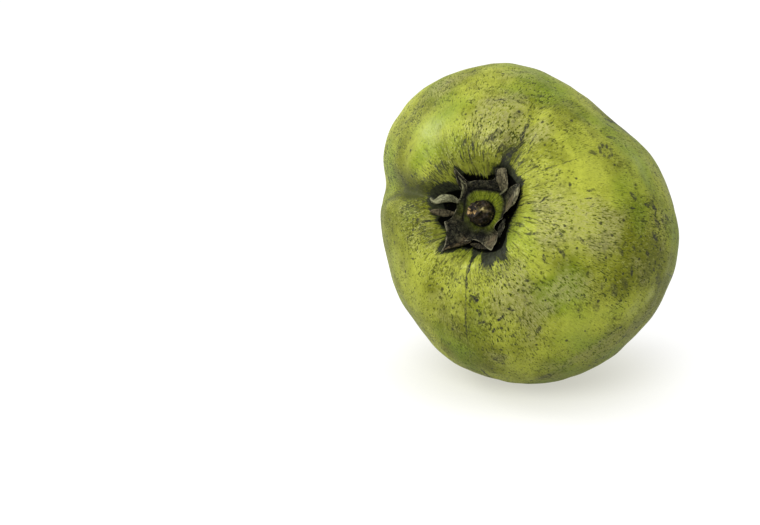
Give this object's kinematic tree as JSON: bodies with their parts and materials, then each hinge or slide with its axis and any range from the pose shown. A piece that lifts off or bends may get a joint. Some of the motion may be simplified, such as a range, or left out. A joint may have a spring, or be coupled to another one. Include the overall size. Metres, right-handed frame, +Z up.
{
  "type": "black sapote",
  "caption": "Whole lobed green fruit with mottled skin, a dried leathery calyx and a short woody stem stub set in its hollow, resting on a small flat spot.",
  "frame": {"origin": "on the ground, under the middle of the fruit's bounding box", "axes": "+Z up from the surface that the fruit rests on; the stem end faces -Y, turned a little towards -X and rising"},
  "size_m": [0.101, 0.0992, 0.1072],
  "materials": {
    "skin": "satin waxy skin, lime to olive green with grey-tan russet patches and black flecks",
    "dried_calyx": "dry leathery, dark grey-brown with pale worn edges and a green middle",
    "stem_wood": "dark satin bark with a pale tan cut tip"
  },
  "bodies": {
    "root": {"fruit": "skin", "calyx": "dried_calyx", "stem_stub": "stem_wood"}
  },
  "joints": []
}
